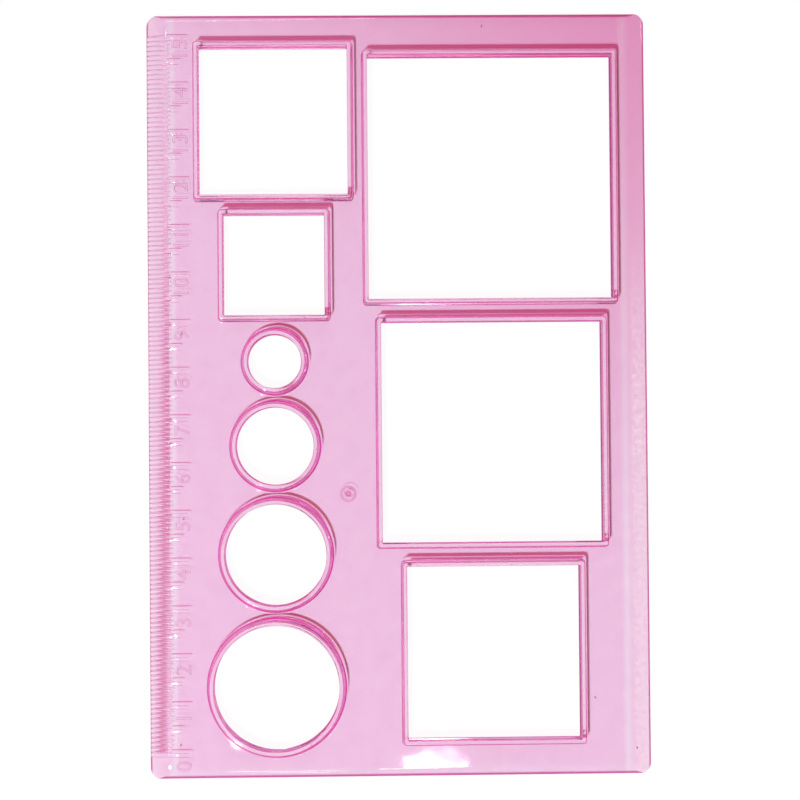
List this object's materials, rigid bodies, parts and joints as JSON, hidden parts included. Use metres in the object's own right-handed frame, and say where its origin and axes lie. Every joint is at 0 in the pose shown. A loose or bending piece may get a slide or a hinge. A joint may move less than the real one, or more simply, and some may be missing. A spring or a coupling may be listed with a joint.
{
  "type": "craft template",
  "caption": "Clear pink plastic craft template with square and round collared openings for tracing and coiling, and a ruler moulded along one bevelled edge.",
  "frame": {"origin": "middle of the underside, in the plane that the template lies on", "axes": "+Y along the ruler from zero to its high end, +Z out of the plate on the collars' side, +X from the ruler to the plain edge"},
  "size_m": [0.105, 0.16, 0.005],
  "materials": {
    "clear_pink": "clear, glossy, tinted through"
  },
  "bodies": {
    "root": {"web_plate": "clear_pink", "scale_edge": "clear_pink", "plain_edge": "clear_pink", "square_collar_30": "clear_pink", "square_collar_20": "clear_pink", "round_collar_10": "clear_pink", "round_collar_15": "clear_pink", "round_collar_20": "clear_pink", "round_collar_25": "clear_pink", "square_collar_50": "clear_pink", "square_collar_45": "clear_pink", "square_collar_35": "clear_pink", "gate_mark": "clear_pink"}
  },
  "joints": []
}
